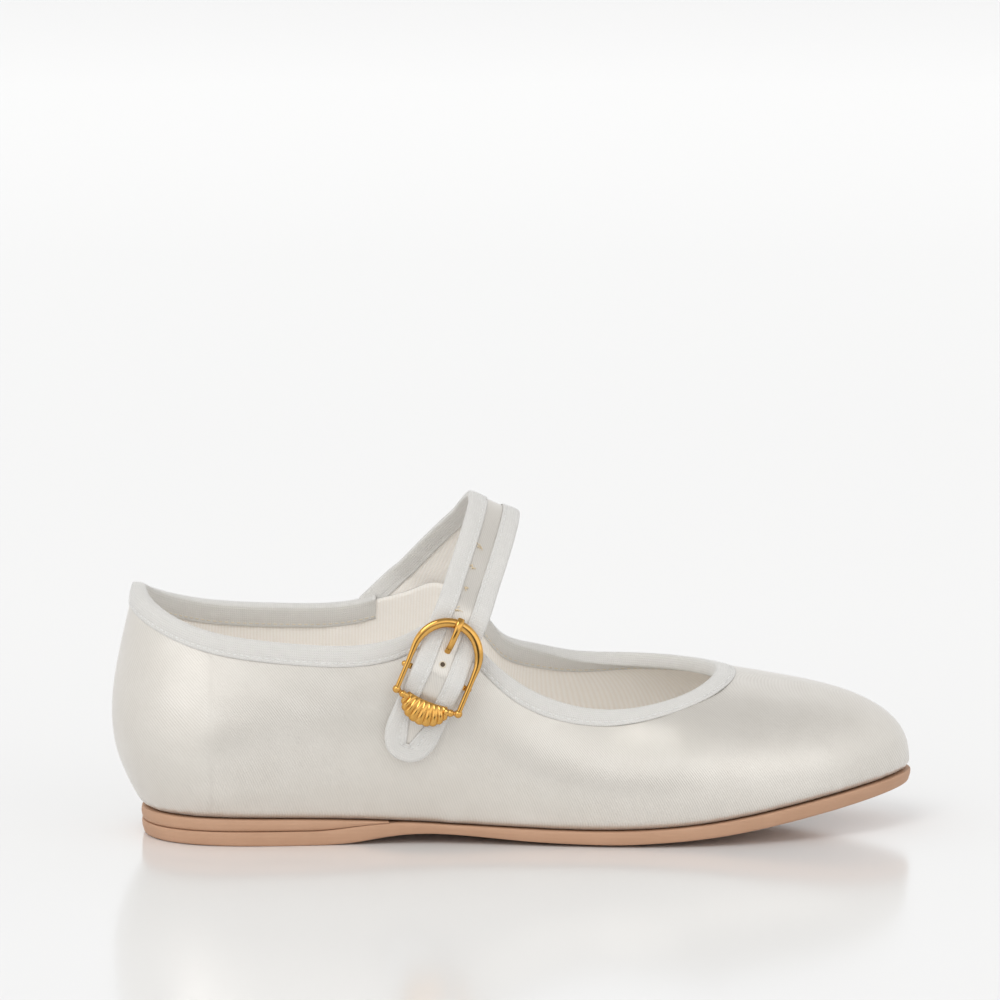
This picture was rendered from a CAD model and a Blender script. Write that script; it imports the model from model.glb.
"""Looks of the child's satin bar shoe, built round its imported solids.

Lengths are laid out in millimetres from the rearmost point of the heel ("station" lengths), as in the
solids' own source, and go to the row frame in metres through to_row.
"""

import bpy
import math
import numpy as np
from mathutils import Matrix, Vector, noise


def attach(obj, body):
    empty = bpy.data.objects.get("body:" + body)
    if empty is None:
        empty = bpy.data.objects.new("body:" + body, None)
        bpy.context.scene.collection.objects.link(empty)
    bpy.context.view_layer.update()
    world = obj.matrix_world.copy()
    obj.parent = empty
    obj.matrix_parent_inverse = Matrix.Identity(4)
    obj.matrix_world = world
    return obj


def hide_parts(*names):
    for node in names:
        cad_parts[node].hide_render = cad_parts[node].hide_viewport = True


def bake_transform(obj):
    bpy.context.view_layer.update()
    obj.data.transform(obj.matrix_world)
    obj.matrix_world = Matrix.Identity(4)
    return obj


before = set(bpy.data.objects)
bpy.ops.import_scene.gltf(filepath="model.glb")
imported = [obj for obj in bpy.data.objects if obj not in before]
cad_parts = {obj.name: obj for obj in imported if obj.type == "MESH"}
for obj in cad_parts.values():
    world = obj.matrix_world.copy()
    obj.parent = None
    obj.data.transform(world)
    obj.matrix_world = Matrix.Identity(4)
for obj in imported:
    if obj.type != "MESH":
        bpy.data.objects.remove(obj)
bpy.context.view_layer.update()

# ---------------------------------------------------------------- the shoe's own dimensions
# where the row frame's origin lies in station lengths
ORIGIN = np.array([96.56, -0.74, 0.0])
MM = 0.001
# (station, height) of the feather line and of the tread
FEATHER = [(0, 6.7), (25, 6.4), (50, 6.0), (75, 4.95), (100, 3.95), (120, 3.9), (140, 5.4), (160, 8.5),
           (175, 10.9), (193, 13.0)]
TREAD = [(-4, 0), (30, 0), (52, 0), (58, 0.45), (66, 1.7), (74, 2.3), (84, 1.9), (98, 0.7),
         (110, 0.15), (119, 0.06), (128, 0.5), (142, 1.9), (158, 4.5), (175, 7.4), (195, 10.2)]
# round the upper: feather line (x, y), then topline (x, y, z)
STATIONS = [
    (80, 19.0, 80, 20.0, 56.2),
    (72, 17.7, 73.5, 20.8, 54.6),
    (65, 17.5, 66.0, 21.8, 52.4),
    (55, 18.0, 56, 22.3, 50.4),
    (41, 19.4, 41, 22.0, 50.4),
    (25, 19.7, 23, 19.8, 52.0),
    (13.5, 12.2, 10.3, 11.0, 56.2),
    (9.8, 0, 7.8, 0, 58.3),
    (13.5, -12.5, 10.3, -11.0, 55.8),
    (25, -20.5, 23, -20.5, 50.0),
    (42, -21.8, 42, -23.5, 47.0),
    (58, -21.2, 58, -24.5, 46.4),
    (70, -21.2, 70, -25.4, 49.2),
    (79, -22.0, 79, -25.9, 52.2),
    (89, -23.8, 88.5, -26.2, 43.9),
    (102, -26.5, 99, -26.0, 35.8),
    (117, -29.3, 112.4, -25.0, 31.5),
    (135, -30.3, 125, -22.5, 31.5),
    (153, -27.5, 134.8, -17.5, 33.4),
    (170, -20.5, 140.6, -11.0, 35.4),
    (183, -10.0, 143.5, -4.0, 36.5),
    (190, 2.5, 144.4, 2.5, 37.0),
    (186.5, 15.0, 143.4, 9.0, 37.0),
    (174, 24.2, 139.6, 15.0, 37.1),
    (157, 29.0, 133, 20.0, 37.3),
    (139, 31.0, 123.5, 23.0, 37.5),
    (122, 30.7, 113, 24.2, 37.9),
    (106, 27.3, 103, 24.3, 39.8),
    (95, 23.0, 94.5, 22.6, 43.0),
    (87, 20.2, 88.5, 20.3, 51.0),
]
COUNT = len(STATIONS)
# columns between two stations, and in all
PER = 24
NU = COUNT * PER
# degrees the ribs lean out at the feather line and in at the topline
FLARE_HEEL, FLARE_SIDE, FLARE_TOE = 35.0, 28.0, 9.0
LEAN_SIDE, LEAN_THROAT_OUT, LEAN_THROAT_IN = 12.0, 80.0, 82.0
# depths below the satin's outer face, the turned-in margin and the topline tape's width
LINING_FACE = 2.4
LINING_BACK = 1.7
MARGIN = 9.0
TAPE = 4.4
STITCH_PITCH = 1.45

TILT = math.radians(23.0)
LEAN = math.radians(6.0)
STRAP_FOOT = 59.3
BAR_SIDE, BAR_UP = -31.0, 44.0
# the strap's middle line: (up, out) beside the bar, then (across the shoe, up its plane) over the instep
TAIL = [(-20.8, -4.1), (-17.5, -3.4), (-13.5, -2.3), (-9.5, -1.1), (-6, -0.1), (-3.5, 1.0), (-1.6, 1.85),
        (0, 2.3), (1.6, 2.15), (4.5, 1.3), (8, 0.4), (12, -0.1), (16, -0.4)]
BAR_POINT = 7
ARCH = [(-24.3, 65.2), (-18, 72.4), (-10.5, 78.9), (-3, 82.5), (4, 82.5), (10, 79.4), (15, 74.2),
        (18.9, 68.4), (21.6, 62.5), (23.2, 57.5), (24.2, 53.5), (24.9, 49.0)]
# holes, as lengths along the strap above the bar
HOLES = (3.0, 16.3, 22.2, 28.4, 34.8)
STRAP_HALF = 6.3
STRAP_FACE = 0.6


# ---------------------------------------------------------------- curves and surfaces
def to_row(points):
    return (np.asarray(points, float) - ORIGIN) * MM


def ease(low, high, x):
    t = np.clip((np.asarray(x, float) - low) / (high - low), 0, 1)
    return t * t * (3 - 2 * t)


def bump_at(x, centre, width):
    return np.exp(-(((np.asarray(x, float) - centre) / width) ** 2))


def natural(xs, ys):
    """Natural cubic spline through points; returns a function of x."""
    xs, ys = np.asarray(xs, float), np.asarray(ys, float)
    n = len(xs)
    h = np.diff(xs)
    a = np.eye(n)
    b = np.zeros((n,) + ys.shape[1:])
    slope = (np.diff(ys, axis=0).T / h).T
    for i in range(1, n - 1):
        a[i, i - 1 : i + 2] = h[i - 1], 2 * (h[i - 1] + h[i]), h[i]
        b[i] = 6 * (slope[i] - slope[i - 1])
    m = np.linalg.solve(a, b)

    def at(x):
        x = np.asarray(x, float)
        i = np.clip(np.searchsorted(xs, x) - 1, 0, n - 2)
        left, right = x - xs[i], xs[i + 1] - x
        hi = h[i]
        if ys.ndim > 1:
            left, right, hi = left[..., None], right[..., None], hi[..., None]
        return (m[i] * right**3 + m[i + 1] * left**3) / (6 * hi) + (
            (ys[i] / hi - m[i] * hi / 6) * right + (ys[i + 1] / hi - m[i + 1] * hi / 6) * left)

    return at


def closed_spline(points):
    """Closed cubic spline through evenly counted points, sampled PER times between each two."""
    points = np.asarray(points, float)
    n = len(points)
    ring = np.eye(n) * 4 + np.roll(np.eye(n), 1, 0) + np.roll(np.eye(n), -1, 0)
    poles = np.linalg.solve(ring / 6, points)
    t = (np.arange(PER) / PER)[None, :, None]
    weights = ((1 - t) ** 3, 3 * t**3 - 6 * t**2 + 4, -3 * t**3 + 3 * t**2 + 3 * t + 1, t**3)
    total = sum(w * np.roll(poles, 1 - k, 0)[:, None, :] for k, w in enumerate(weights))
    return (total / 6).reshape(n * PER, -1)


def unit(v):
    return v / np.maximum(np.linalg.norm(v, axis=-1, keepdims=True), 1e-12)


feather = natural(*zip(*FEATHER))
tread = natural(*zip(*TREAD))


def last_rings():
    s = np.array(STATIONS, float)
    edge = np.c_[s[:, 0], s[:, 1], feather(s[:, 0])]
    top = s[:, 2:5]
    along = np.roll(edge, -1, 0) - np.roll(edge, 1, 0)
    out = unit(np.c_[along[:, 1], -along[:, 0], np.zeros(COUNT)])
    length = np.linalg.norm(top - edge, axis=1)
    toe = ease(120, 175, edge[:, 0])
    throat = ease(92, 150, edge[:, 0])
    flare_front = FLARE_SIDE + (FLARE_TOE - FLARE_SIDE) * toe
    flare = np.radians(np.where(edge[:, 0] < 30, FLARE_HEEL, flare_front))
    lean_throat = np.where(edge[:, 1] < 0, LEAN_THROAT_OUT, LEAN_THROAT_IN)
    lean = np.radians(LEAN_SIDE + (lean_throat - LEAN_SIDE) * throat)
    inward = np.where(throat[:, None] > 0.3, unit((top - edge) * [1, 1, 0]), -out)
    up = np.array([0, 0, 1.0])
    low_reach, high_reach = (0.42 - 0.06 * toe) * length, 0.42 * length
    low = edge + (out * np.sin(flare)[:, None] + up * np.cos(flare)[:, None]) * low_reach[:, None]
    high = top - (inward * np.sin(lean)[:, None] + up * np.cos(lean)[:, None]) * high_reach[:, None]
    return edge, low, high, top, out


EDGE, LOW, HIGH, TOP, OUT = (closed_spline(r) for r in last_rings())
OUT = unit(OUT)
STATION_OF = np.arange(NU) / PER


def bezier(v):
    """Points (NU, len(v), 3) of the upper's outer face, v running from the feather line to the topline."""
    v = np.asarray(v, float)[None, :, None]
    a, b, c, d = (r[:, None, :] for r in (EDGE, LOW, HIGH, TOP))
    return a * (1 - v) ** 3 + b * 3 * v * (1 - v) ** 2 + c * 3 * v**2 * (1 - v) + d * v**3


def surface_normals(points):
    along = np.roll(points, -1, 0) - np.roll(points, 1, 0)
    rising = np.gradient(points, axis=1)
    return unit(np.cross(along, rising))


FINE = np.linspace(0, 1, 121)
SKIN = bezier(FINE)
SKIN_NORMAL = surface_normals(SKIN)
SKIN_LENGTH = np.concatenate(
    [np.zeros((NU, 1)), np.cumsum(np.linalg.norm(np.diff(SKIN, axis=1), axis=2), axis=1)], axis=1)


def resample(values, where):
    """values along each rib (NU, fine, k) at the lengths up the rib in where (NU, m)."""
    result = np.empty(where.shape + (values.shape[2],))
    for i in range(NU):
        for k in range(values.shape[2]):
            result[i, :, k] = np.interp(where[i], SKIN_LENGTH[i], values[i, :, k])
    return result


def skin_at(height=None, below=None):
    """Points and normals of the upper's outer face, at lengths up from the feather line or below the
    topline."""
    if height is None:
        height = SKIN_LENGTH[:, -1:] - np.atleast_2d(below)
    where = np.broadcast_to(height, (NU, np.shape(height)[1]))
    return resample(SKIN, where), unit(resample(SKIN_NORMAL, where))


def arc_lengths(line):
    return np.concatenate([[0], np.cumsum(np.linalg.norm(np.diff(line, axis=0), axis=1))])


TOP_ARC = arc_lengths(np.vstack([TOP, TOP[:1]]))


def cloth_uv(points):
    """Lengthways and upward coordinates of the cloth, in metres; behind the heel the cloth wraps round."""
    x, y, z = points[..., 0], points[..., 1], points[..., 2]
    behind = np.maximum(25 - x, 0)
    wrap = np.arctan2(np.abs(y), np.maximum(27 - x, 0.01))
    along = np.where(behind > 0, 25 - (math.pi / 2 - wrap) * 19, x)
    rise = z + np.abs(EDGE[:, 1])[:, None] - np.abs(y)
    return np.stack([along, rise], -1) * MM


# ---------------------------------------------------------------- meshes
def finish_mesh(name, verts, faces, uvs, material):
    mesh = bpy.data.meshes.new(name)
    mesh.from_pydata(verts.tolist(), [], faces.tolist())
    layer = mesh.uv_layers.new(name="cloth")
    layer.data.foreach_set("uv", uvs.reshape(-1).astype(np.float32))
    mesh.shade_smooth()
    mesh.materials.append(material)
    piece = bpy.data.objects.new(name, mesh)
    bpy.context.scene.collection.objects.link(piece)
    return piece


def grid_faces(nu, nv, closed_u, closed_v):
    iu = np.arange(nu if closed_u else nu - 1)[:, None]
    iv = np.arange(nv if closed_v else nv - 1)[None, :]
    ju, jv = (iu + 1) % nu, (iv + 1) % nv
    corners = np.broadcast_arrays(iu * nv + iv, ju * nv + iv, ju * nv + jv, iu * nv + jv)
    return np.stack(corners, -1).reshape(-1, 4)


def grid_uvs(uv, nu, nv, closed_u, closed_v):
    iu = np.arange(nu if closed_u else nu - 1)[:, None]
    iv = np.arange(nv if closed_v else nv - 1)[None, :]
    corners = [uv[iu, iv], uv[iu + 1, iv], uv[iu + 1, iv + 1], uv[iu, iv + 1]]
    return np.stack(corners, 2).reshape(-1, 2)


def row_lengths(points):
    """Lengths along each row of a grid of points, from its first column."""
    steps = np.linalg.norm(np.diff(points, axis=1), axis=2)
    return np.concatenate([np.zeros((len(points), 1)), np.cumsum(steps, axis=1)], 1)


def wrap_uv(uv, closed_u, closed_v):
    """Adds the repeated last row or column that a closed grid's faces end on."""
    if closed_u:
        uv = np.concatenate([uv, uv[:1] + (uv[-1:] - uv[-2:-1]) + (uv[-1:] - uv[:1])], 0)
    if closed_v:
        uv = np.concatenate([uv, 2 * uv[:, -1:] - uv[:, -2:-1]], 1)
    return uv


def grid_piece(name, points, uv, material, closed_u=False, closed_v=False):
    nu, nv = points.shape[:2]
    faces = grid_faces(nu, nv, closed_u, closed_v)
    uvs = grid_uvs(wrap_uv(uv, closed_u, closed_v), nu, nv, closed_u, closed_v)
    return finish_mesh(name, points.reshape(-1, 3), faces, uvs, material)


def join(name, pieces):
    bpy.ops.object.select_all(action="DESELECT")
    for p in pieces:
        p.select_set(True)
    bpy.context.view_layer.objects.active = pieces[0]
    bpy.ops.object.join()
    pieces[0].select_set(False)
    pieces[0].name = name
    pieces[0].data.name = name
    return pieces[0]


STITCH_RINGS = np.array([[-1.0, 0.25], [-0.8, 0.8], [-0.3, 1.0], [0.3, 1.0], [0.8, 0.8], [1.0, 0.25]])


def stitches(name, path, normals, material, pitch=STITCH_PITCH, length=1.0, radius=0.13, sides=6):
    """Threads lying along a path (metres), one short soft capsule per stitch (sizes in millimetres)."""
    arc = arc_lengths(path) / MM
    count = int(arc[-1] / pitch)
    middle = (np.arange(count) + 0.5) * arc[-1] / count

    def along(values, at):
        return np.stack([np.interp(at, arc, values[:, k]) for k in range(3)], 1)

    centre, normal = along(path, middle), unit(along(normals, middle))
    forward = unit(along(path, middle + 0.3) - along(path, middle - 0.3))
    side = np.cross(forward, normal)
    angle = np.linspace(0, 2 * math.pi, sides, endpoint=False)
    rings = []
    for reach, swell in STITCH_RINGS:
        base = centre + forward * (reach * length / 2 * MM) - normal * ((1 - swell) * radius * MM)
        round_it = (side[:, None, :] * np.cos(angle)[None, :, None]
                    + normal[:, None, :] * np.sin(angle)[None, :, None])
        rings.append(base[:, None, :] + round_it * (radius * swell * MM))
    points = np.stack(rings, 1)
    per = len(STITCH_RINGS) * sides
    faces = grid_faces(len(STITCH_RINGS), sides, False, True)
    faces = (faces[None] + (np.arange(count) * per)[:, None, None]).reshape(-1, 4)
    verts = points.reshape(-1, 3)
    uvs = np.zeros((faces.size, 2))
    uvs[:, 0] = np.repeat(np.arange(faces.size // 4), 4) * 1e-5
    return finish_mesh(name, verts, faces, uvs, material)


def rough(points, size, amount, seed=0.0):
    """Smooth random heights at points (millimetres)."""
    flat = points.reshape(-1, 3) / size
    shift = Vector((seed, seed * 1.7, seed * 0.3))
    heights = np.array([noise.noise(Vector(p) + shift) for p in flat.tolist()])
    return heights.reshape(points.shape[:-1]) * amount


# ---------------------------------------------------------------- materials
class Finish:
    """A material's node tree around one Principled shader."""

    def __init__(self, name, **values):
        self.material = bpy.data.materials.new(name)
        self.material.use_nodes = True
        self.tree = self.material.node_tree
        self.shader = self.tree.nodes["Principled BSDF"]
        for key, value in values.items():
            self.shader.inputs[key.replace("_", " ")].default_value = value
        self.uv = self.add("ShaderNodeUVMap", uv_map="cloth").outputs[0]

    def add(self, kind, inputs=None, **attributes):
        node = self.tree.nodes.new(kind)
        for key, value in attributes.items():
            setattr(node, key, value)
        for key, value in (inputs or {}).items():
            socket = node.inputs[key]
            if isinstance(value, bpy.types.NodeSocket):
                self.tree.links.new(value, socket)
            else:
                socket.default_value = value
        return node

    def turned(self, degrees, source=None, scale=(1, 1, 1)):
        inputs = {"Vector": source or self.uv, "Rotation": (0, 0, math.radians(degrees)), "Scale": scale}
        return self.add("ShaderNodeMapping", inputs).outputs[0]

    def lines(self, pitch_mm, degrees, distort):
        """Even lines of that pitch across the cloth."""
        scale = 2 * math.pi / 20 / (pitch_mm * MM)
        inputs = {"Vector": self.turned(degrees), "Scale": scale, "Distortion": distort, "Detail": 1.0,
                  "Detail Scale": 2.0}
        return self.add("ShaderNodeTexWave", inputs, wave_profile="SIN").outputs["Fac"]

    def cloud(self, size_mm, detail=3.0, stretch=(1, 1, 1)):
        """Soft random patches of about that size."""
        coordinates = self.turned(0, self.add("ShaderNodeTexCoord").outputs["Object"], stretch)
        inputs = {"Vector": coordinates, "Scale": 1 / (size_mm * MM), "Detail": detail}
        return self.add("ShaderNodeTexNoise", inputs).outputs["Fac"]

    def ramp(self, value, low, high):
        """value, which runs from 0 to 1, made to run from low to high."""
        return self.add("ShaderNodeMapRange", {"Value": value, "To Min": low, "To Max": high}).outputs[0]

    def times(self, a, b, operation="MULTIPLY"):
        return self.add("ShaderNodeMath", {0: a, 1: b}, operation=operation).outputs[0]

    def colour(self, first, second, factor):
        mix = self.add("ShaderNodeMix", {"Factor": factor}, data_type="RGBA")
        for socket, value in ((6, first), (7, second)):
            if isinstance(value, bpy.types.NodeSocket):
                self.tree.links.new(value, mix.inputs[socket])
            else:
                mix.inputs[socket].default_value = (*value, 1)
        return mix.outputs[2]

    def base(self, socket):
        self.tree.links.new(socket, self.shader.inputs["Base Color"])

    def relief(self, *layers):
        """Stacked bumps, each (height socket, distance in millimetres, strength)."""
        normal = None
        for height, distance, strength in layers:
            inputs = {"Height": height, "Distance": distance * MM, "Strength": strength}
            if normal is not None:
                inputs["Normal"] = normal
            normal = self.add("ShaderNodeBump", inputs).outputs[0]
        self.tree.links.new(normal, self.shader.inputs["Normal"])

    def roughness(self, socket):
        self.tree.links.new(socket, self.shader.inputs["Roughness"])


def satin_finish():
    f = Finish("ivory_satin", Sheen_Weight=0.15, Sheen_Roughness=0.4, Specular_IOR_Level=0.8,
               Metallic=0.4)
    twill = f.lines(0.52, -32, 0.25)
    cloud = f.cloud(9)
    shade = f.colour((0.69, 0.655, 0.60), (0.75, 0.72, 0.67), cloud)
    f.base(f.colour(shade, (0.54, 0.505, 0.455), f.ramp(f.times(twill, f.cloud(5)), 0.0, 0.55)))
    f.roughness(f.ramp(f.cloud(3.0), 0.27, 0.35))
    f.relief((f.cloud(14, 2), 0.5, 0.3), (f.cloud(0.8, 4), 0.04, 0.4), (twill, 0.05, 0.5))
    return f.material


def tape_finish():
    f = Finish("binding_tape", Sheen_Weight=0.4, Sheen_Roughness=0.5, Specular_IOR_Level=0.3)
    ribs = f.lines(0.5, 0, 0.5)
    cross = f.lines(0.55, 90, 0.5)
    weave = f.times(ribs, cross)
    shade = f.colour((0.70, 0.685, 0.655), (0.78, 0.765, 0.735), f.cloud(2.2))
    f.base(f.colour(shade, (0.60, 0.59, 0.565), f.ramp(weave, 0.4, 0.0)))
    f.roughness(f.ramp(f.cloud(1.5), 0.6, 0.75))
    f.relief((f.cloud(2.0, 3), 0.2, 0.6), (weave, 0.1, 0.7))
    return f.material


def lining_finish():
    f = Finish("woven_lining", Sheen_Weight=0.35, Sheen_Roughness=0.5, Specular_IOR_Level=0.2)
    ribs = f.lines(0.78, 0, 0.8)
    cross = f.lines(0.4, 90, 0.5)
    shade = f.colour((0.97, 0.93, 0.87), (0.99, 0.96, 0.92), f.cloud(5))
    f.base(f.colour(shade, (0.88, 0.81, 0.72), f.ramp(ribs, 0.4, 0.0)))
    f.roughness(f.ramp(f.cloud(1.5), 0.7, 0.85))
    f.relief((f.cloud(6, 2), 0.25, 0.4), (f.cloud(0.5, 3), 0.05, 0.5), (f.times(ribs, cross), 0.1, 0.6))
    return f.material


def thread_finish(name, colour, roughness=0.5):
    f = Finish(name, Sheen_Weight=0.3, Roughness=roughness, Specular_IOR_Level=0.4)
    dark = tuple(c * 0.8 for c in colour)
    f.base(f.colour(dark, colour, f.cloud(0.6)))
    f.relief((f.cloud(0.15, 2), 0.03, 0.6))
    return f.material


def sole_finish():
    f = Finish("sole_leather", Specular_IOR_Level=0.35)
    brushed = f.cloud(1.4, 4, stretch=(0.12, 0.12, 3.0))
    grain = f.cloud(0.5, 4)
    shade = f.colour((0.50, 0.295, 0.185), (0.60, 0.37, 0.245), f.cloud(7, 4))
    f.base(f.colour(shade, (0.43, 0.245, 0.15), f.ramp(brushed, 0.0, 0.5)))
    f.roughness(f.ramp(grain, 0.45, 0.65))
    f.relief((brushed, 0.08, 0.4), (grain, 0.05, 0.5))
    return f.material


def gold_finish():
    f = Finish("buckle_gold", Metallic=1.0, Specular_IOR_Level=0.5)
    f.base(f.colour((0.56, 0.29, 0.06), (0.74, 0.43, 0.13), f.cloud(1.6)))
    f.roughness(f.ramp(f.cloud(0.7, 4), 0.05, 0.12))
    f.relief((f.cloud(0.9, 2), 0.02, 0.3))
    return f.material


SATIN = satin_finish()
TAPE_CLOTH = tape_finish()
LINING = lining_finish()
GOLD = gold_finish()
SOLE = sole_finish()
WHITE_THREAD = thread_finish("white_thread", (0.86, 0.86, 0.84))
CREAM_THREAD = thread_finish("cream_thread", (0.78, 0.70, 0.56))
TAN_THREAD = thread_finish("frayed_thread", (0.85, 0.70, 0.47), 0.8)


# ---------------------------------------------------------------- upper
# the side ends, and the turn under the sole begins, at this height; the turn ends this far in
TURN_START, TURN_REACH = 2.2, 2.6


def corner_rows():
    """The rounded turn from the side of a rib to its turned-in margin, top row first."""
    begin, _ = skin_at(height=np.full((NU, 1), TURN_START))
    begin = begin[:, 0]
    corner = EDGE - OUT * 0.05
    end = EDGE - OUT * TURN_REACH
    t = np.linspace(0, 1, 7)[None, :, None]
    return begin[:, None] * (1 - t) ** 2 + corner[:, None] * 2 * t * (1 - t) + end[:, None] * t**2


def cloth_waves(points, height):
    """How far the satin stands proud of its smooth form: soft waves, gathers at the sole and a fold."""
    x, y = points[..., 0], points[..., 1]
    waves = rough(points, 17.0, 0.22) + rough(points, 6.0, 0.06, 3.1)
    at_ends = ease(128, 170, x) + (1 - ease(14, 34, x))
    by_sole = np.exp(-((height / 3.6) ** 2))
    gathers = rough(points * [1, 1, 0.12], 2.3, 0.26, 7.7) * by_sole * (0.25 + at_ends)
    waist = bump_at(x, 80.5, 2.4) * np.where(y < 0, 1, 0) * np.exp(-((height / 7.0) ** 2)) * 0.45
    return waves + gathers + waist


# The tape runs from the front of the strap's root round the throat and the heel to the rear of the root.
TAPE_FROM, TAPE_TO = 2.15, 28.9
TAPE_COLUMNS = np.arange(int(TAPE_FROM * PER), int(TAPE_TO * PER) + 1)
TAPED = ease(TAPE_FROM, TAPE_FROM + 0.5, STATION_OF) * (1 - ease(TAPE_TO - 0.5, TAPE_TO, STATION_OF))
ROOT_DROP = 0.8
SATIN_THICK = 0.85


def make_upper():
    """The satin, which stops a little below the lining where the strap's root covers its bare edge."""
    heights = SKIN_LENGTH[:, -1:] - ROOT_DROP * (1 - TAPED)[:, None]
    fractions = np.linspace(1, 0, 64)
    side = TURN_START + (heights - TURN_START) * fractions[None, :]
    points, normals = skin_at(height=side)
    points = points + normals * cloth_waves(points, side)[..., None]
    turn = corner_rows()[:, 1:]
    turn_normal = np.repeat(normals[:, -1:], turn.shape[1], 1)
    fade = np.linspace(1, 0, turn.shape[1])[None, :, None]
    turn = turn + turn_normal * cloth_waves(turn, np.full(turn.shape[:2], 1.0))[..., None] * fade
    margin = (EDGE - OUT * MARGIN)[:, None]
    inner, inner_normal = skin_at(height=side[:, ::9])
    inner = (inner - inner_normal * SATIN_THICK)[:, ::-1]
    lift = np.array([0, 0, SATIN_THICK])
    sheet = np.concatenate([points, turn, margin, margin + lift, turn[:, -1:] + lift, inner], 1)
    uv = cloth_uv(sheet)
    piece = grid_piece("upper", to_row(sheet), uv, SATIN, True, True)
    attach(piece, "shoe")
    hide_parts("upper_satin", "heel_counter", "toe_puff", "topline_tape")


def tape_section():
    """The binding's section: (distance below the topline, height above the cloth), outside and inside."""
    outside = [(TAPE, 0.0), (TAPE + 0.05, 0.22), (TAPE - 0.15, 0.42), (TAPE - 0.5, 0.44),
               (TAPE - 0.85, 0.34), (TAPE - 1.3, 0.48), (2.4, 0.62), (1.6, 0.62), (0.8, 0.55)]
    inside = [(0.8, 0.5), (1.8, 0.55), (2.8, 0.55), (TAPE - 0.9, 0.48), (TAPE - 0.35, 0.34),
              (TAPE + 0.1, 0.44), (TAPE + 0.45, 0.4), (TAPE + 0.5, 0.1)]
    return outside, inside


def make_topline():
    outside, inside = tape_section()
    phase = TOP_ARC[:-1] / STITCH_PITCH * 2 * math.pi
    puff = 0.05 * np.cos(phase)

    def side(section, depth, sign):
        below = np.array([d for d, _ in section])
        lift = np.array([h for _, h in section])
        points, normals = skin_at(below=below[None, :])
        near_seam = np.exp(-(((below - (TAPE - 0.85)) / 0.8) ** 2))
        swell = lift[None, :] + puff[:, None] * near_seam[None, :] + rough(points, 2.2, 0.07, 5.0)
        swell = swell * (0.35 + 0.65 * TAPED)[:, None]
        return points + normals * (-depth + sign * swell)[..., None]

    outer = side(outside, 0.0, 1)
    inner = side(inside, LINING_FACE, -1)
    _, normal = skin_at(below=np.array([[0.3]]))
    top, _ = skin_at(below=np.array([[0.0]]))
    under, _ = skin_at(below=np.array([[1.0]]))
    rise = unit(top - under)
    middle = top - normal * (LINING_FACE / 2)
    angle = np.linspace(8, 172, 9)[None, :, None] * math.pi / 180
    half = LINING_FACE / 2 + 0.5
    fold = middle + normal * half * np.cos(angle) + rise * (0.62 * np.sin(angle) - 0.05)
    ring = np.concatenate([outer, fold, inner], 1)[TAPE_COLUMNS]
    along = np.repeat(TOP_ARC[TAPE_COLUMNS, None], ring.shape[1], 1)
    uv = np.stack([along, row_lengths(ring)], -1) * MM
    piece = grid_piece("topline_tape_cover", to_row(ring), uv, TAPE_CLOTH)
    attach(piece, "shoe")
    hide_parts("topline_binding")
    rows = ((TAPE - 0.85, -0.42, 1, WHITE_THREAD, "topline_stitches"),
            (TAPE - 0.35, LINING_FACE + 0.42, -1, CREAM_THREAD, "hem_stitches"))
    for below, depth, sign, material, name in rows:
        points, normals = skin_at(below=np.array([[below]]))
        path = (points[:, 0] - normals[:, 0] * depth)[TAPE_COLUMNS]
        normals = normals[TAPE_COLUMNS, 0] * sign
        thread = stitches(name, to_row(path), normals, material)
        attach(thread, "shoe")


def make_lining(name, node, first, last_station):
    """One lining piece between two stations, with its doubled seam edges."""
    columns = np.arange(int(first * PER), int(last_station * PER) + 1)
    height = SKIN_LENGTH[:, -1:] * np.linspace(0.995, 0.03, 46)[None, :]
    points, normals = skin_at(height=height)
    face = points - normals * LINING_FACE
    back = (points - normals * LINING_BACK)[:, ::-1]
    ring = np.concatenate([face, back], 1)[columns % NU]
    normal = np.concatenate([normals, normals[:, ::-1]], 1)[columns % NU]
    arc = TOP_ARC[columns % NU] + np.where(columns >= NU, TOP_ARC[-1], 0)
    edge = np.minimum(arc - arc[0], arc[-1] - arc)
    seam = 0.35 * np.exp(-((edge / 1.5) ** 2)) + 0.16 * np.exp(-(((edge - 2.6) / 0.9) ** 2))
    wave = rough(ring, 15.0, 0.25, 11.0)
    shown = np.concatenate([np.ones(face.shape[1]), np.zeros(back.shape[1])])
    ring = ring - normal * ((seam[:, None] + wave) * shown[None, :])[..., None]
    uv = np.stack([np.repeat(arc[:, None], ring.shape[1], 1), row_lengths(ring)], -1) * MM
    piece = grid_piece(name, to_row(ring), uv, LINING, False, True)
    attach(piece, "shoe")
    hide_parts(node)


make_upper()
make_topline()
make_lining("heel_lining", "quarter_lining", 3, 11)
make_lining("front_lining", "vamp_lining", 11, 33)

# ---------------------------------------------------------------- sole and sock
CENTRE_X = (26.0, 166.0)


def centre_line(x):
    """Middle of the sole at a station."""
    order = np.argsort(EDGE[:, 0])
    inner = EDGE[:, 1] > 0
    xs = np.clip(x, *CENTRE_X)
    ins = np.interp(xs, EDGE[order][inner[order], 0], EDGE[order][inner[order], 1])
    outs = np.interp(xs, EDGE[order][~inner[order], 0], EDGE[order][~inner[order], 1])
    return xs, (ins + outs) / 2


def towards_middle(ring, fractions):
    """Rings between an outline (NU, 2) and the sole's centre line."""
    cx, cy = centre_line(ring[:, 0])
    middle = np.stack([cx, cy], -1)
    f = np.asarray(fractions)[None, :, None]
    return ring[:, None, :] * (1 - f) + middle[:, None, :] * f


SOLE_AT_HEEL = 3.4
WEDGE_START, WEDGE_END, WEDGE_TIP = 48.0, 72.0, 66.0


def sole_top(x):
    return SOLE_AT_HEEL + (feather(x) - 0.1 - SOLE_AT_HEEL) * ease(WEDGE_START, WEDGE_END, x)


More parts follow.
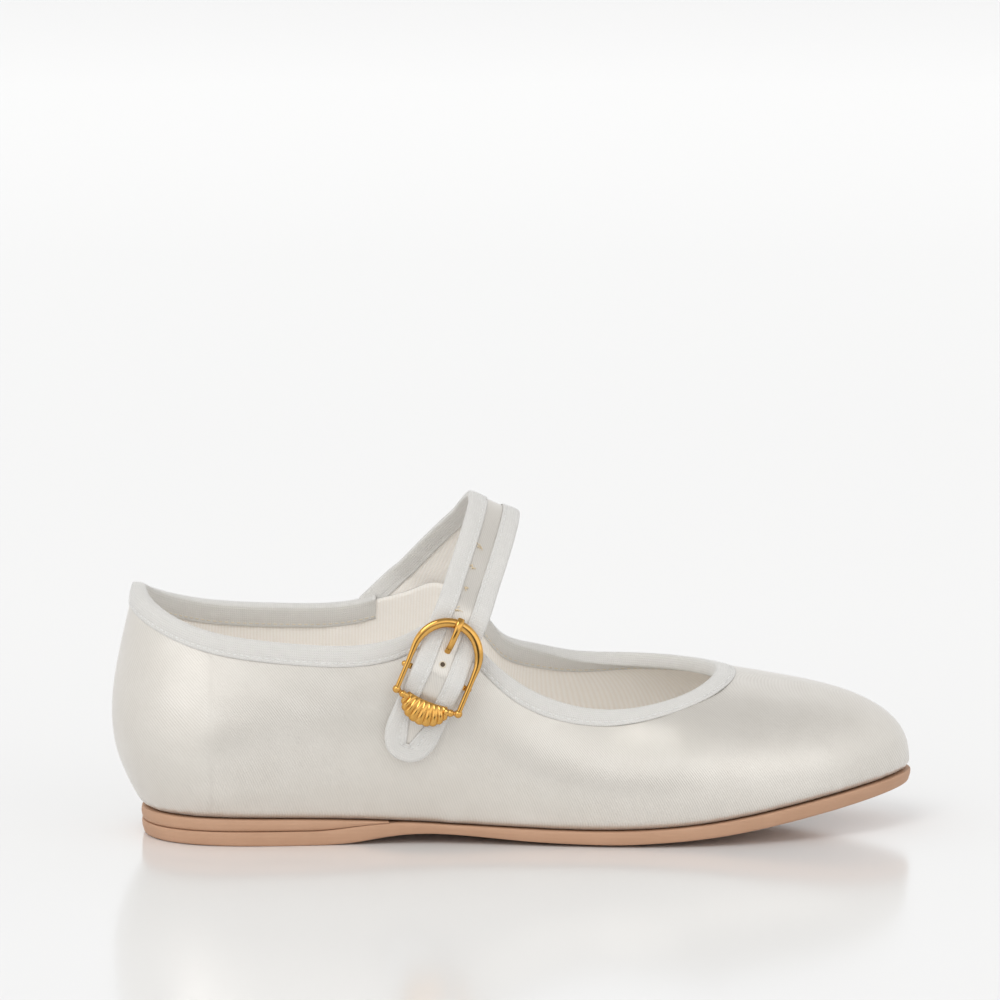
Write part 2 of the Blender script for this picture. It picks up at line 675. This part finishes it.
EDGE_RISE = 0.5


def make_slab(name, node, top, bottom, columns, undercut, closed):
    """A sole layer: its top inside the edge, a side with rounded corners, and its underside."""
    outline = (EDGE + OUT * 0.6)[:, :2]
    x = outline[:, 0]
    high, low = top(x), bottom(x) + EDGE_RISE * bump_at(x, 122, 30) * (node == "outsole")
    thick = np.maximum(high - low, 0.02)
    round_low, round_high = np.minimum(0.9, thick * 0.35), np.minimum(0.3, thick * 0.2)
    rings = []
    for f in (1.0, 0.75, 0.5, 0.25, 0.1):
        inner = towards_middle(outline, [f])[:, 0]
        rings.append(np.c_[inner, top(inner[:, 0])])
    for a in np.radians([90, 60, 30, 0]):
        inset = round_high * (1 - np.cos(a))
        rings.append(np.c_[outline - OUT[:, :2] * inset[:, None], high - round_high * (1 - np.sin(a))])
    for f in (0.25, 0.5, 0.75):
        level = high - round_high - (thick - round_high - round_low) * f
        belly = 0.12 * math.sin(math.pi * f) - undercut * f
        rings.append(np.c_[outline + OUT[:, :2] * belly, level])
    for a in np.radians([0, 25, 50, 70, 90]):
        inset = undercut + round_low * (1 - np.cos(a))
        rings.append(np.c_[outline - OUT[:, :2] * inset[:, None], low + round_low * (1 - np.sin(a))])
    base = outline - OUT[:, :2] * (undercut + round_low)[:, None]
    for f in (0.1, 0.25, 0.45, 0.65, 0.82, 1.0):
        inner = towards_middle(base, [f])[:, 0]
        rings.append(np.c_[inner, np.maximum(bottom(inner[:, 0]), 0.0)])
    points = np.stack(rings, 1)[columns]
    points[..., 2] = np.maximum(points[..., 2], 0.0)
    arc = arc_lengths(outline[columns])
    uv = np.stack([np.repeat(arc[:, None], points.shape[1], 1), row_lengths(points)], -1) * MM
    piece = grid_piece(name, to_row(points), uv, SOLE, closed, False)
    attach(piece, "shoe")
    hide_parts(node)


def make_sole():
    make_slab("outsole_leather", "outsole", sole_top, tread, np.arange(NU), 0.35, True)
    heel = np.flatnonzero(EDGE[:, 0] < WEDGE_TIP)

    def wedge_top(x):
        return feather(x) - 0.05

    def wedge_low(x):
        return np.minimum(sole_top(x) + 0.06, wedge_top(x) - 0.02)

    make_slab("heel_wedge_leather", "heel_wedge", wedge_top, wedge_low, heel, 0.0, False)


def make_sock():
    """The textile sock on its foam, meeting the lining's wall all round."""
    lift = LINING_FACE + 0.1 + 1.6 + 0.05 + 1.5 + 0.05 + 0.8
    face = SKIN - SKIN_NORMAL * (LINING_FACE + 0.25)
    goal = feather(EDGE[:, 0]) + lift
    wall = np.empty((NU, 3))
    for i in range(NU):
        rows = slice(0, 60)
        wall[i] = [np.interp(goal[i], face[i, rows, 2], face[i, rows, k]) for k in range(3)]
    edge_low = wall - OUT * 0.5
    edge_low[:, 2] -= 2.2
    rings = [edge_low, wall - OUT * 0.1 - [0, 0, 0.9], wall - OUT * 0.25 - [0, 0, 0.35], wall - OUT * 0.7]
    for f in (0.06, 0.12, 0.2, 0.3, 0.4, 0.5, 0.6, 0.7, 0.8, 0.9, 1.0):
        ring = towards_middle(wall[:, :2], [f])[:, 0]
        dish = -0.5 * math.sin(min(f * 2.2, 1.0) * math.pi / 2) * bump_at(ring[:, 0], 30, 26)
        rings.append(np.c_[ring, feather(ring[:, 0]) + lift + dish])
    points = np.stack(rings, 1)
    points[..., 2] += rough(points, 9.0, 0.12, 2.0)
    uv = np.stack([points[..., 1], points[..., 0]], -1) * MM
    piece = grid_piece("sock", to_row(points), uv, LINING, True, False)
    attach(piece, "shoe")
    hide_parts("sock_cover", "sock_foam")


make_sole()
make_sock()

# ---------------------------------------------------------------- strap
ACROSS = np.array([math.cos(TILT), 0, -math.sin(TILT)])
RISING = np.array([math.sin(TILT), 0, math.cos(TILT)])
SIDEWAYS = np.array([0, 1.0, 0])


def beside_bar(up, out):
    across = BAR_SIDE + up * math.sin(LEAN) - out * math.cos(LEAN)
    return (across, BAR_UP + up * math.cos(LEAN) + out * math.sin(LEAN))


STRAP_POINTS = np.array([beside_bar(*p) for p in TAIL] + ARCH)
_knots = arc_lengths(STRAP_POINTS)
_line = natural(_knots, STRAP_POINTS)
_dense = _line(np.linspace(0, _knots[-1], 1200))
DENSE_ARC = arc_lengths(_dense)
STRAP_LENGTH = DENSE_ARC[-1]
BAR_ARC = np.interp(_knots[BAR_POINT], np.linspace(0, _knots[-1], 1200), DENSE_ARC)
_direction = unit(np.gradient(_dense, axis=0))


def strap_line(distance):
    """Middle line (across the shoe, up the strap's plane) and its outward normal at a length from the tip."""
    at = [np.interp(distance, DENSE_ARC, _dense[:, k]) for k in range(2)]
    along = [np.interp(distance, DENSE_ARC, _direction[:, k]) for k in range(2)]
    return np.stack(at, -1), unit(np.stack([-along[1], along[0]], -1))


def strap_point(distance, b, height):
    """Point of the strap from its length from the tip, place across it and height above its middle."""
    distance, b, height = np.broadcast_arrays(np.asarray(distance, float), b, height)
    line, out = strap_line(distance)
    beyond = np.minimum(distance, 0) + np.maximum(distance - STRAP_LENGTH, 0)
    place = line + out * height[..., None]
    along = np.stack([out[..., 1], -out[..., 0]], -1)
    place = place + along * beyond[..., None]
    base = np.array([STRAP_FOOT, 0, 0])
    return base + b[..., None] * ACROSS + place[..., :1] * SIDEWAYS + place[..., 1:] * RISING


_root_arc = np.linspace(STRAP_LENGTH * 0.6, STRAP_LENGTH, 60)
_root_up = strap_line(_root_arc)[0][:, 1]
WING_UP = [48.0, 52.5, 60.0, 69.3, 77.0, 84.0]
WING_WIDE = [12.8, 10.6, 6.8, 3.6, 0.9, 0.0]


def rear_edge(distance):
    """How far the strap reaches to the rear of its middle line; it widens towards its root."""
    up = np.interp(distance, _root_arc, _root_up)
    wing = np.interp(up, WING_UP, WING_WIDE)
    return STRAP_HALF + np.where(distance > STRAP_LENGTH * 0.6, wing, 0)


TIP_REACH = 8.6


def tip_narrowing(distance):
    t = np.clip(distance / TIP_REACH, 0, 1)
    return (1 - (1 - t) ** 2.3) ** (1 / 2.3)


ROOT_EXTRA = 3.0
SUNK = 9.0


def root_sink(distance):
    """The strap's root dips into the quarter's own surface, where the two are one cloth."""
    return 3.3 * ease(STRAP_LENGTH - SUNK, STRAP_LENGTH + 1.0, distance)


def strap_band(name, inset, low, high, material, node):
    """A ply of the strap inside its edge binding, as a closed flat tube of two faces."""
    distance = np.concatenate([inset * 0.75 + np.linspace(0, 1, 14) ** 1.6 * TIP_REACH,
                               np.linspace(TIP_REACH + inset, STRAP_LENGTH + ROOT_EXTRA, 190)])
    distance = np.unique(distance)
    narrow = tip_narrowing(distance - inset * 0.75)
    rear = (rear_edge(distance) - inset) * narrow
    front = (STRAP_HALF - inset) * narrow
    share = np.linspace(0, 1, 15)
    b = -rear[:, None] + (rear + front)[:, None] * share[None, :]
    d = np.repeat(distance[:, None], len(share), 1)
    sink = root_sink(d)
    wave = rough(np.stack([d, b, 0 * b], -1), 6.0, 0.1, 9.0)
    face = strap_point(d, b, high - sink + wave)
    back = strap_point(d, b, low - sink + wave)[:, ::-1]
    ring = np.concatenate([face, back], 1)
    uv = np.concatenate([np.stack([b, d], -1), np.stack([b, d], -1)[:, ::-1]], 1) * MM
    piece = grid_piece(name, to_row(ring), uv, material, False, True)
    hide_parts(*node)
    return piece


def edge_path():
    """The strap's edge from the rear of the root round the tip to the front of the root, laid flat:
    points (length from the tip, place across), the inward direction, and lengths along the edge."""
    down = np.linspace(STRAP_LENGTH + ROOT_EXTRA, TIP_REACH, 260)
    angle = np.linspace(0, math.pi, 60)[1:-1]
    round_b = -STRAP_HALF * np.sign(np.cos(angle)) * np.abs(np.cos(angle)) ** (2 / 2.3)
    round_d = TIP_REACH - TIP_REACH * np.abs(np.sin(angle)) ** (2 / 2.3)
    up = down[::-1]
    d = np.concatenate([down, round_d, up])
    b = np.concatenate([-rear_edge(down), round_b, np.full(len(up), STRAP_HALF)])
    path = np.stack([d, b], -1)
    arc = arc_lengths(path)
    even = np.linspace(0, arc[-1], 520)
    path = np.stack([np.interp(even, arc, path[:, k]) for k in range(2)], -1)
    along = unit(np.gradient(path, axis=0))
    inward = np.stack([-along[:, 1], along[:, 0]], -1)
    inward *= np.sign(np.median(np.sum(inward * -np.c_[np.zeros(len(path)), path[:, 1]], 1)))
    return path, inward, even


STRAP_TAPE = 4.35
TIP_POINT = 3.2


def make_strap_binding():
    path, inward, arc = edge_path()
    t, over = STRAP_TAPE, STRAP_FACE
    face = [(t, 0.0), (t + 0.03, 0.16), (t - 0.12, 0.3), (t - 0.45, 0.32), (t - 0.8, 0.22),
            (t - 1.3, 0.34), (2.4, 0.42), (1.5, 0.42), (0.8, 0.36)]
    turn = [(0.35, 0.3), (0.12, 0.12)]
    section = [(w, over + h) for w, h in face + turn] + [(0.0, 0.3), (0.0, -0.3)]
    section += [(w, -over - h * 0.7) for w, h in (face + turn)[::-1]]
    w = np.array([s[0] for s in section])
    h = np.array([s[1] for s in section])
    flat = path[:, None, :] + inward[:, None, :] * w[None, :, None]
    # the inner side of the turn round the tip doesn't cross the strap's middle
    tip = flat[..., 0] < TIP_REACH + 3
    side = np.sign(path[:, 1])[:, None]
    crossed = tip & (flat[..., 1] * side < 0.15)
    off_middle = np.abs(path[:, 1])[:, None] > 1.2
    flat[..., 1] = np.where(crossed & off_middle, 0.15 * side, flat[..., 1])
    # the tape's two inner edges close to a point above the tip
    opened = np.clip((flat[..., 0] - TIP_POINT) / (TIP_REACH + 1.5 - TIP_POINT), 0, 1)
    open_half = (STRAP_HALF - t) * opened
    inner_rows = np.abs(w)[None, :] > t - 1.0
    beside = np.sign(flat[..., 1]) * np.minimum(np.abs(flat[..., 1]), open_half + (t - w)[None, :])
    flat[..., 1] = np.where(tip & inner_rows, beside, flat[..., 1])
    near_seam = np.exp(-(((w - (t - 0.8)) / 0.8) ** 2))
    puff = 0.035 * np.cos(arc / STITCH_PITCH * 2 * math.pi)[:, None] * near_seam[None, :]
    wave = rough(np.concatenate([flat, np.zeros(flat.shape[:2] + (1,))], -1), 2.2, 0.06, 4.0)
    height = h[None, :] + np.sign(h)[None, :] * (puff + wave) - root_sink(flat[..., 0])
    points = strap_point(flat[..., 0], flat[..., 1], height)
    across = np.concatenate([[0], np.cumsum(np.hypot(np.diff(w), np.diff(h)))])
    uv = np.stack(np.broadcast_arrays(arc[:, None], across[None, :]), -1) * MM
    piece = grid_piece("strap_tape_cover", to_row(points), uv, TAPE_CLOTH)
    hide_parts("strap_binding")
    seam = path + inward * (t - 0.8)
    seam[:, 1] = np.where((seam[:, 0] < TIP_REACH) & (seam[:, 1] * path[:, 1] < 0), 0, seam[:, 1])
    top = strap_point(seam[:, 0], seam[:, 1], over + 0.26 - root_sink(seam[:, 0]))
    above = strap_point(seam[:, 0], seam[:, 1], over + 1.26 - root_sink(seam[:, 0]))
    thread = stitches("strap_stitches", to_row(top), unit(above - top), WHITE_THREAD, radius=0.11)
    return [piece, thread]


def hole_ring(name, distance, section, material):
    """Turned shape standing on the strap round a hole; section is (radius, height) in millimetres."""
    angle = np.linspace(0, 2 * math.pi, 25)[:-1]
    d = distance + np.array([r * np.sin(angle) for r, _ in section]).T
    b = np.array([r * np.cos(angle) for r, _ in section]).T
    h = np.array([[STRAP_FACE - 0.12 + z for _, z in section]] * len(angle))
    uv = np.stack([b, d], -1) * MM
    return grid_piece(name, to_row(strap_point(d, b, h)), uv, material, True, False)


def frayed_hole(distance):
    """A punched hole: its dark inside and the worn rim."""
    floor = [(0.02, 0.04), (0.3, 0.04), (0.58, 0.05)]
    worn = [(0.55, 0.03), (0.6, 0.12), (0.75, 0.14), (0.9, -0.03)]
    return [hole_ring("strap_hole", distance, floor, HOLE),
            hole_ring("strap_hole_rim", distance, worn, CREAM_THREAD)]


HOLE = thread_finish("punched_hole", (0.10, 0.07, 0.045), 0.9)


TORN_THREADS = 7


def torn_threads(distance, index):
    """Short yarn ends pulled up at one side of a hole."""
    rng = np.random.default_rng(70 + index)
    pieces = []
    for k in range(TORN_THREADS):
        start = rng.uniform(-0.5, 0.5, 2)
        end = start + rng.uniform(-0.9, 0.9, 2) * [0.5, 1.0]
        t = np.linspace(0, 1, 6)
        d = distance + start[0] + (end[0] - start[0]) * t
        b = start[1] - 1.2 + (end[1] - start[1]) * t
        h = STRAP_FACE - 0.12 + 0.45 * np.sin(t * math.pi) * rng.uniform(0.5, 1.2)
        line = strap_point(d, b, h)
        out = strap_point(d, b, h + 1) - line
        pieces.append(stitches(f"thread_{index}_{k}", to_row(line), unit(out), TAN_THREAD,
                               pitch=0.5, length=0.75, radius=0.09, sides=5))
    return pieces


def make_strap():
    face = strap_band("strap_cloth", STRAP_TAPE - 0.5, 0.0, STRAP_FACE - 0.12, SATIN,
                      ("strap_satin", "strap_core"))
    under = strap_band("strap_lining_cloth", STRAP_TAPE - 0.5, -STRAP_FACE + 0.12, -0.02, LINING,
                       ("strap_lining",))
    parts = [face, under] + make_strap_binding()
    holes = frayed_hole(BAR_ARC + HOLES[0])
    threads = [p for i, up in enumerate(HOLES[1:]) for p in torn_threads(BAR_ARC + up, i)]
    rims = join("strap_holes", holes)
    torn = join("strap_torn_threads", threads)
    parts += [rims, torn]
    low = strap_point(STRAP_LENGTH + 1.0, -3.0, 0.0)
    high = strap_point(STRAP_LENGTH - 12.0, -3.0, 0.0)
    for piece in parts:
        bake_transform(piece)


make_strap()

# ---------------------------------------------------------------- buckle
BAR = np.array([STRAP_FOOT, 0, 0]) + BAR_SIDE * SIDEWAYS + BAR_UP * RISING
ALONG = math.sin(LEAN) * SIDEWAYS + math.cos(LEAN) * RISING
OUTWARD = -math.cos(LEAN) * SIDEWAYS + math.sin(LEAN) * RISING
RAIL_X, RISE, RAIL_LOW, RAIL_HIGH, ARCH_HIGH = 7.6, 2.2, -6.0, 4.6, 8.2
ROD_HALF, ROD_RADIUS = 8.2, 0.68


def by_bar(points):
    """Points given as (across, up, out) from the middle of the bar."""
    points = np.asarray(points, float)
    return BAR + points[..., :1] * ACROSS + points[..., 1:2] * ALONG + points[..., 2:3] * OUTWARD


def sweep(name, path, wide, thick, side, material, sides, power=2.0):
    """Tube along a path with a rounded section; side is the direction its width keeps to."""
    path = np.asarray(path, float)
    along = unit(np.gradient(path, axis=0))
    side = unit(np.broadcast_to(side, path.shape) - along * np.sum(side * along, 1, keepdims=True))
    up = np.cross(along, side)
    wide, thick = np.broadcast_to(wide, len(path)), np.broadcast_to(thick, len(path))
    angle = np.linspace(0, 2 * math.pi, sides, endpoint=False)
    c = np.sign(np.cos(angle)) * np.abs(np.cos(angle)) ** (2 / power)
    s = np.sign(np.sin(angle)) * np.abs(np.sin(angle)) ** (2 / power)
    ring = (path[:, None] + side[:, None] * (wide[:, None] * c[None])[..., None]
            + up[:, None] * (thick[:, None] * s[None])[..., None])
    first = path[:1, None] - along[:1, None] * thick[0] * 0.5 + (ring[:1] - path[:1, None]) * 0.55
    last = path[-1:, None] + along[-1:, None] * thick[-1] * 0.5 + (ring[-1:] - path[-1:, None]) * 0.55
    point_a = np.repeat(first.mean(1, keepdims=True) - along[:1, None] * thick[0] * 0.15, sides, 1)
    point_b = np.repeat(last.mean(1, keepdims=True) + along[-1:, None] * thick[-1] * 0.15, sides, 1)
    ring = np.concatenate([point_a, first, ring, last, point_b], 0)
    length = np.arange(len(ring)) * 0.5
    uv = np.stack(np.broadcast_arrays(length[:, None], np.arange(sides)[None] * 0.2), -1)
    return grid_piece(name, to_row(ring), uv * MM, material, False, True)


def frame_path():
    t = np.linspace(0, math.pi, 160)
    arch = np.stack([-RAIL_X * np.cos(t), RAIL_HIGH + ARCH_HIGH * np.sin(t)], -1)
    low = np.linspace(RAIL_LOW, RAIL_HIGH, 50)[:-1]
    left = np.stack([np.full(len(low), -RAIL_X), low], -1)
    right = np.stack([np.full(len(low), RAIL_X), low[::-1]], -1)
    flat = np.concatenate([left, arch, right])
    out = RISE + 0.3 * np.sin(np.clip((flat[:, 1] - RAIL_LOW) / 19, 0, 1) * math.pi)
    return np.c_[flat, out]


FLUTES = 9


def make_shell():
    """Fluted fan under the rails' feet, domed outwards."""
    phi = np.linspace(-1, 1, FLUTES * 22 + 1)
    t = np.linspace(0, 1, 26)
    swing = np.radians(84) * phi
    scallop = np.abs(np.sin(math.pi * FLUTES / 2 * (phi + 1)))
    top = np.stack([4.7 * phi, RAIL_LOW + 0.55 - 0.5 * (1 - phi**2)], -1)
    reach = 1 + 0.045 * scallop
    fall = RAIL_LOW - 0.35 - 5.1 * np.cos(swing) ** 0.85 * reach
    low = np.stack([5.6 * np.sin(swing) * reach, fall], -1)
    flat = top[:, None] * (1 - t)[None, :, None] + low[:, None] * t[None, :, None]
    dome = 1.05 * np.sqrt(np.clip(1 - (2 * t - 1) ** 2, 0, 1))[None, :] * (1 - 0.45 * phi**4)[:, None]
    dying = np.clip(np.sin(np.pi * np.clip(t, 0.04, 0.97)), 0, 1)[None, :] ** 0.4
    ridge = (0.18 + 0.34 * t)[None, :] * (scallop[:, None] ** 0.7) * dying
    out = RISE - 0.35 + dome * 0.75 + ridge
    face = np.concatenate([flat, out[..., None]], -1)
    back = face[:, ::-1].copy()
    back[..., 2] = RISE - 0.55
    ring = np.concatenate([face, back], 1)
    uv = np.stack([ring[..., 0], ring[..., 1]], -1) * MM
    return grid_piece("shell", to_row(by_bar(ring)), uv, GOLD, False, True)


def make_ball(name, centre, radius):
    a = np.linspace(0, math.pi, 14)[:, None]
    b = np.linspace(0, 2 * math.pi, 22, endpoint=False)[None, :]
    ball = np.stack([np.sin(a) * np.cos(b), np.sin(a) * np.sin(b), np.cos(a) + 0 * b], -1)
    points = ball * radius + centre
    uv = np.stack([points[..., 0], points[..., 1]], -1) * MM
    return grid_piece(name, to_row(by_bar(points)), uv, GOLD, False, True)


def make_buckle():
    path = frame_path()
    crown = np.clip((path[:, 1] - 1.0) / 10, 0, 1)
    crown = crown * crown * (3 - 2 * crown)
    away = path[:, :2] - [0, 3.0]
    side = unit(np.c_[away, np.zeros(len(away))]) @ np.stack([ACROSS, ALONG, OUTWARD])
    parts = [sweep("hoop", by_bar(path), 0.6 + 0.5 * crown, 0.68 + 0.16 * crown, side, GOLD, 24, 2.3)]
    parts.append(make_shell())
    for sign in (-1, 1):
        parts.append(make_ball("foot", np.array([sign * RAIL_X, RAIL_LOW, RISE]), 0.98))
        neck = np.array([[sign * RAIL_X, RAIL_LOW, RISE], [sign * 6.7, -6.25, RISE + 0.05],
                         [sign * 5.7, -6.5, RISE + 0.1], [sign * 4.6, -6.7, RISE + 0.1]])
        wide, thick = [0.62, 0.5, 0.72, 0.8], [0.62, 0.5, 0.72, 0.7]
        parts.append(sweep("neck", by_bar(neck), wide, thick, ALONG, GOLD, 16))
        parts.append(make_ball("collar", np.array([sign * 5.9, -6.5, RISE + 0.1]), 0.86))
        lug = np.array([[sign * RAIL_X, 0, out] for out in (RISE, 0.9, -0.6)])
        parts.append(sweep("lug", by_bar(lug), [0.85, 0.8, 0.75], 0.5, ALONG, GOLD, 16, 2.6))
    buckle = join("buckle_gold_frame", parts)
    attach(buckle, "buckle")
    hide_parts("buckle_frame")
    middle = by_bar([[x, 0, 0] for x in np.linspace(-ROD_HALF, ROD_HALF, 12)])
    rod = sweep("buckle_rod", middle, ROD_RADIUS, ROD_RADIUS, ALONG, GOLD, 18)
    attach(rod, "buckle")
    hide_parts("buckle_bar")


def make_tongue():
    knots = np.array([[0.2, -0.98], [1.2, -0.72], [2.8, -0.3], [4.4, 0.0], [5.7, 0.8], [7.0, 2.2],
                      [8.4, 3.35], [10.4, 3.75], [12.2, 3.72], [13.5, 3.3], [14.1, 2.75]])
    arc = arc_lengths(knots)
    line = natural(arc, knots)(np.linspace(0, arc[-1], 60))
    path = by_bar(np.c_[np.zeros(len(line)), line])
    share = np.linspace(0, 1, 60)
    wide = 0.72 + 0.12 * bump_at(share, 0.93, 0.12)
    arm = sweep("arm", path, wide, 0.46, ACROSS, GOLD, 20, 2.4)
    angle = np.linspace(0, 2 * math.pi, 40)[:-1]
    section = [(0.72, 0.78), (-0.72, 0.78), (-0.72, 1.42), (0.72, 1.42)]
    ring = np.array([[[x, r * math.cos(a), r * math.sin(a)] for x, r in section] for a in angle])
    uv = np.stack([ring[..., 1], ring[..., 0]], -1) * MM
    eye = grid_piece("eye", to_row(by_bar(ring)), uv, GOLD, True, True)
    tongue = join("buckle_gold_tongue", [arm, eye])
    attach(tongue, "tongue")
    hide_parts("buckle_tongue")


def make_loop():
    """Folded satin tab round the bar, its two ends lying on the quarter."""
    turn = [(1.25 * math.cos(a), 1.25 * math.sin(a)) for a in np.radians(np.arange(130, -131, -20))]
    under = [(-3.0, -1.9), (-6.0, -2.6), (-9.0, -3.05), (-12.0, -3.65)]
    over = [(-12.0, -3.2), (-9.0, -2.45), (-6.0, -1.8), (-3.0, -0.9)]
    knots = np.array(over + turn + under)
    arc = arc_lengths(knots)
    line = natural(arc, knots)(np.linspace(0, arc[-1], 90))
    across = np.linspace(-4.0, 4.0, 17)
    points = np.stack(np.broadcast_arrays(across[None, :], line[:, :1], line[:, 1:]), -1)
    direction = unit(np.gradient(line, axis=0))
    out = np.stack([np.zeros(len(line)), -direction[:, 1], direction[:, 0]], -1)[:, None, :]
    faces = np.concatenate([points + out * 0.2, (points - out * 0.2)[:, ::-1]], 1)
    uv = np.stack([faces[..., 0], faces[..., 1]], -1) * MM
    tab = grid_piece("buckle_tab", to_row(by_bar(faces)), uv, SATIN, False, True)
    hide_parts("buckle_loop")
    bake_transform(tab)


make_buckle()
make_tongue()
make_loop()


# ---------------------------------------------------------------- carried-over solids inside the shoe
def inner_finish(name, dark, light, size, roughness, **values):
    f = Finish(name, Roughness=roughness, **values)
    f.base(f.colour(dark, light, f.cloud(size, 5)))
    f.relief((f.cloud(size * 0.4, 4), 0.1, 0.5))
    return f.material


INNER_FINISHES = {
    "insole_board": inner_finish("insole_fibreboard", (0.32, 0.2, 0.11), (0.45, 0.3, 0.18), 0.6, 0.85),
    "bottom_filler": inner_finish("cork_filler", (0.2, 0.11, 0.05), (0.42, 0.27, 0.14), 1.2, 0.9),
    "shank": inner_finish("shank_steel", (0.35, 0.35, 0.36), (0.5, 0.5, 0.52), 2.0, 0.35, Metallic=1.0),
}
for node, finish in INNER_FINISHES.items():
    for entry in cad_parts[node].material_slots:
        entry.material = finish


# ---------------------------------------------------------------- floor, light, camera
def make_floor():
    bpy.ops.mesh.primitive_plane_add(size=30, location=(0, 0, 0))
    floor = bpy.context.object
    floor.name = "floor"
    f = Finish("pale_floor", Specular_IOR_Level=0.5, Roughness=0.13)
    f.shader.inputs["Base Color"].default_value = (0.93, 0.93, 0.93, 1)
    floor.data.materials.append(f.material)


def sun(name, direction, strength, softness, colour):
    light = bpy.data.lights.new(name, "SUN")
    light.energy = strength
    light.angle = math.radians(softness)
    light.color = colour
    lamp = bpy.data.objects.new(name, light)
    lamp.rotation_mode = "QUATERNION"
    lamp.rotation_quaternion = (-Vector(direction)).to_track_quat("-Z", "Y")
    bpy.context.scene.collection.objects.link(lamp)


AMBIENT = 0.95
OVERHEAD = -0.45
SOFTBOX = 0.6
DARK_SPOT = -0.85


def make_world():
    """White all round, dimmer overhead, with a bright band above the floor on the near side and a
    dark patch low down in it."""
    world = bpy.data.worlds.new("studio")
    bpy.context.scene.world = world
    world.use_nodes = True
    tree = world.node_tree
    back = tree.nodes["Background"]
    back.inputs[0].default_value = (1.0, 1.0, 1.0, 1)

    def node(kind, *values, **attributes):
        made = tree.nodes.new(kind)
        for key, value in attributes.items():
            setattr(made, key, value)
        for i, value in enumerate(values):
            if isinstance(value, bpy.types.NodeSocket):
                tree.links.new(value, made.inputs[i])
            else:
                made.inputs[i].default_value = value
        return made.outputs[0]

    def rise(value, low, high):
        return node("ShaderNodeMapRange", value, low, high, 0.0, 1.0, interpolation_type="SMOOTHSTEP")

    def times(a, b, operation="MULTIPLY"):
        return node("ShaderNodeMath", a, b, operation=operation)

    split = tree.nodes.new("ShaderNodeSeparateXYZ")
    tree.links.new(tree.nodes.new("ShaderNodeTexCoord").outputs["Generated"], split.inputs[0])
    y, z = split.outputs[1], split.outputs[2]
    overhead = times(rise(z, 0.6, 0.85), OVERHEAD)
    nearer = rise(times(y, -1.0), 0.1, 0.6)
    band = times(rise(z, 0.06, 0.2), times(1.0, rise(z, 0.42, 0.6), "SUBTRACT"))
    softbox = times(times(nearer, band), SOFTBOX)
    facing = tree.nodes.new("ShaderNodeVectorMath")
    facing.operation = "DOT_PRODUCT"
    tree.links.new(split.inputs[0].links[0].from_socket, facing.inputs[0])
    facing.inputs[1].default_value = (-0.07, -0.995, 0.07)
    spot = times(rise(facing.outputs["Value"], 0.93, 0.985), DARK_SPOT)
    light = times(times(AMBIENT, softbox, "ADD"), times(overhead, spot, "ADD"), "ADD")
    tree.links.new(times(light, 0.05, "MAXIMUM"), back.inputs[1])


def make_light():
    make_world()
    sun("key", (-0.35, -0.6, 0.85), 0.75, 30, (1.0, 0.99, 0.97))


CAMERA_AZIMUTH, CAMERA_ELEVATION = -4.0, 8.5
CAMERA_DISTANCE = 1200.0
TARGET = np.array([95.0, 0.0, 35.0])
FIELD = 234.5
AIM_RIGHT, AIM_UP = -1.9, 42.1


def make_camera():
    a, e = math.radians(CAMERA_AZIMUTH), math.radians(CAMERA_ELEVATION)
    back = np.array([math.sin(a) * math.cos(e), -math.cos(a) * math.cos(e), math.sin(e)])
    right = unit(np.cross(-back, [0, 0, 1]))
    up = np.cross(right, -back)
    place = TARGET + back * CAMERA_DISTANCE
    aim = TARGET + right * AIM_RIGHT + up * AIM_UP
    data = bpy.data.cameras.new("camera")
    data.sensor_width = 36.0
    data.lens = 36.0 * CAMERA_DISTANCE / FIELD
    data.clip_start, data.clip_end = 0.05, 60.0
    camera = bpy.data.objects.new("camera", data)
    camera.location = to_row(place).tolist()
    camera.rotation_mode = "QUATERNION"
    camera.rotation_quaternion = Vector((aim - place).tolist()).to_track_quat("-Z", "Y")
    bpy.context.scene.collection.objects.link(camera)
    bpy.context.scene.camera = camera


make_floor()
make_light()
make_camera()
bpy.context.scene.view_settings.view_transform = "Standard"
